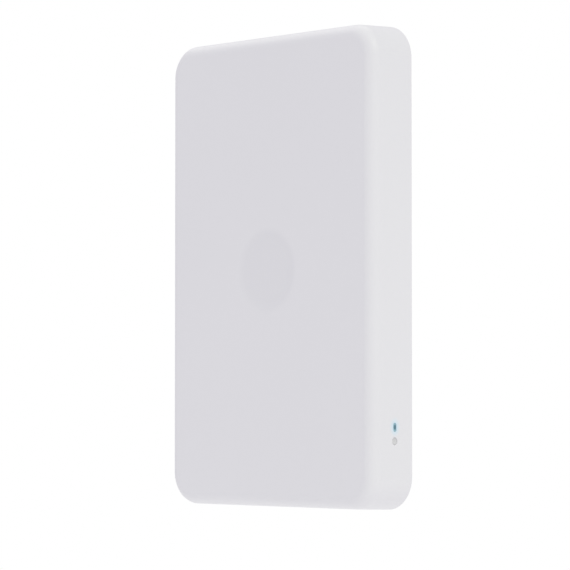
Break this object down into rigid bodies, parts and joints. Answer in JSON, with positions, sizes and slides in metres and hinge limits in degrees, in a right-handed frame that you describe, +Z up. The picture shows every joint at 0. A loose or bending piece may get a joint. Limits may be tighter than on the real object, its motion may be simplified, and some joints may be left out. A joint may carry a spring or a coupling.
{
  "type": "wireless access point",
  "caption": "Upright white wall-mounted Wi-Fi access point with rounded corners, a side indicator, a recessed reset key, a rear port recess and a slide-on steel wall bracket.",
  "frame": {"origin": "middle of the wall bracket's back face, on the wall surface", "axes": "+Z up as it hangs, +Y into the wall, +X to the right as seen from the front"},
  "size_m": [0.13, 0.0228, 0.2],
  "materials": {
    "white_shell": "white moulded polycarbonate, fine satin spark texture",
    "rear_plastic": "white moulded polycarbonate, coarser matt texture",
    "key_plastic": "light grey moulded plastic",
    "zinc_steel": "zinc-plated sheet steel",
    "spring_steel": "bright spring steel",
    "screw_steel": "dark nickel-plated steel",
    "cast_aluminium": "plain aluminium, satin",
    "tin_plate": "tin-plated sheet",
    "gold_plate": "gold-plated contact",
    "board_green": "green solder mask over glass-fibre laminate",
    "black_plastic": "black moulded plastic",
    "chip_black": "black moulding compound",
    "thermal_pad": "soft silicone gap pad",
    "rubber": "dark matt rubber",
    "cable_black": "black cable jacket",
    "label_film": "blank printed-film label, satin",
    "indicator_blue": "clear lens lit blue"
  },
  "bodies": {
    "wall_mount": {"wall_bracket": "zinc_steel", "latch_leaf": "spring_steel", "latch_rivet_1": "spring_steel", "latch_rivet_2": "spring_steel"},
    "access_point": {"front_cover": "white_shell", "rear_cover": "rear_plastic", "rating_label": "label_film", "main_board": "board_green", "heat_spreader": "cast_aluminium", "rj45_shield": "tin_plate", "rj45_insert": "black_plastic", "rj45_contacts": "gold_plate", "poe_transformer": "black_plastic", "lan_magnetics": "chip_black", "power_inductor": "chip_black", "bulk_capacitor_1": "cast_aluminium", "bulk_capacitor_2": "cast_aluminium", "status_led": "indicator_blue", "light_pipe": "indicator_blue", "reset_switch": "black_plastic", "housing_screw_1": "screw_steel", "housing_screw_2": "screw_steel", "housing_screw_3": "screw_steel", "housing_screw_4": "screw_steel", "board_screw_1": "screw_steel", "board_screw_2": "screw_steel", "board_screw_3": "screw_steel", "board_screw_4": "screw_steel", "rubber_pad_1": "rubber", "rubber_pad_2": "rubber", "rubber_pad_3": "rubber", "rubber_pad_4": "rubber", "shield_can_processor": "tin_plate", "thermal_pad_processor": "thermal_pad", "chip_processor": "chip_black", "shield_can_radio_low": "tin_plate", "thermal_pad_radio_low": "thermal_pad", "chip_radio_low": "chip_black", "shield_can_radio_mid": "tin_plate", "thermal_pad_radio_mid": "thermal_pad", "chip_radio_mid": "chip_black", "shield_can_radio_high": "tin_plate", "thermal_pad_radio_high": "thermal_pad", "chip_radio_high": "chip_black", "antenna_top_left": "tin_plate", "antenna_top_right": "tin_plate", "antenna_bottom_left": "tin_plate", "antenna_bottom_right": "tin_plate", "antenna_strip_left": "board_green", "coax_plug_left": "gold_plate", "coax_lead_left": "cable_black", "antenna_strip_right": "board_green", "coax_plug_right": "gold_plate", "coax_lead_right": "cable_black"},
    "reset_key": {"reset_button": "key_plastic", "reset_switch_actuator": "key_plastic"}
  },
  "joints": [
    {"name": "hang_slide", "type": "slide", "parent": "wall_mount", "child": "access_point", "axis": [0, 0, 1], "range_m": [0, 0.008], "deforming": ["latch_leaf"]},
    {"name": "reset_press", "type": "slide", "parent": "access_point", "child": "reset_key", "axis": [-1, 0, 0], "range_m": [0, 0.0005], "stiffness_N_per_m": 1000}
  ]
}
